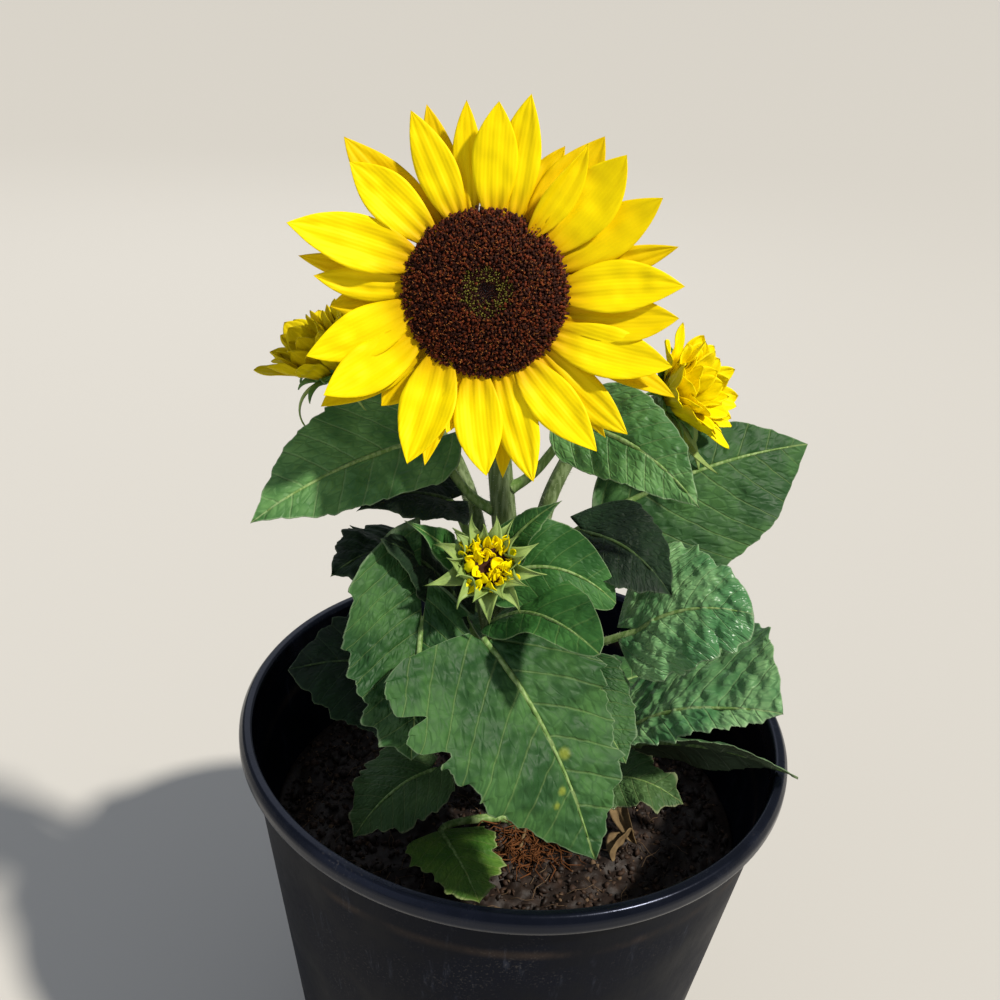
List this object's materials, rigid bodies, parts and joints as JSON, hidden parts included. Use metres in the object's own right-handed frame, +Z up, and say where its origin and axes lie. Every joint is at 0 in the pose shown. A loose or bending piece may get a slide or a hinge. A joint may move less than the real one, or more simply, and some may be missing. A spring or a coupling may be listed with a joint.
{
  "type": "potted dwarf sunflower plant",
  "caption": "Dwarf sunflower with one open bloom, two half-open side flowers and a bud, standing in a round plastic nursery pot of potting mix.",
  "frame": {"origin": "centre of the pot's flat underside, on the ground the pot stands on", "axes": "+Z up along the pot's axis, -Y is the side that the main bloom faces, +X to the right as seen from that side"},
  "size_m": [0.254, 0.254, 0.5037],
  "materials": {
    "pot_plastic": "satin",
    "potting_mix": "matte",
    "stem": "matte",
    "leaf_stalk": "matte",
    "leaf": "matte",
    "seed_disc": "matte",
    "ray_petal": "matte",
    "flower_bud": "matte"
  },
  "bodies": {
    "root": {"back_left_leaf": "leaf", "back_left_stalk": "leaf_stalk", "back_low_left_leaf": "leaf", "back_low_left_stalk": "leaf_stalk", "back_low_right_leaf": "leaf", "back_low_right_stalk": "leaf_stalk", "back_middle_leaf": "leaf", "back_middle_stalk": "leaf_stalk", "back_right_leaf": "leaf", "back_right_stalk": "leaf_stalk", "bloom_disc": "seed_disc", "bloom_petals": "ray_petal", "bud_leaf_back": "leaf", "bud_leaf_front": "leaf", "bud_leaf_left": "leaf", "bud_leaf_right": "leaf", "bud_stem": "stem", "far_left_leaf": "leaf", "far_left_stalk": "leaf_stalk", "far_right_leaf": "leaf", "far_right_stalk": "leaf_stalk", "foot_left_leaf": "leaf", "foot_left_stalk": "leaf_stalk", "foot_right_leaf": "leaf", "foot_right_stalk": "leaf_stalk", "front_bud": "flower_bud", "front_leaf": "leaf", "front_left_leaf": "leaf", "front_left_stalk": "leaf_stalk", "front_right_leaf": "leaf", "front_right_stalk": "leaf_stalk", "front_stalk": "leaf_stalk", "inner_left_leaf": "leaf", "inner_left_stalk": "leaf_stalk", "inner_right_leaf": "leaf", "inner_right_stalk": "leaf_stalk", "left_flower": "ray_petal", "left_stem": "stem", "low_left_leaf": "leaf", "low_left_stalk": "leaf_stalk", "low_right_leaf": "leaf", "low_right_stalk": "leaf_stalk", "main_stem": "stem", "mid_right_leaf": "leaf", "mid_right_stalk": "leaf_stalk", "pot": "pot_plastic", "right_flower": "ray_petal", "right_stem": "stem", "rim_right_leaf": "leaf", "rim_right_stalk": "leaf_stalk", "soil": "potting_mix", "soil_left_leaf": "leaf", "soil_left_stalk": "leaf_stalk", "under_bloom_leaf": "leaf", "under_bloom_stalk": "leaf_stalk", "upper_left_leaf": "leaf", "upper_left_stalk": "leaf_stalk", "upper_right_leaf": "leaf", "upper_right_stalk": "leaf_stalk"}
  },
  "joints": []
}
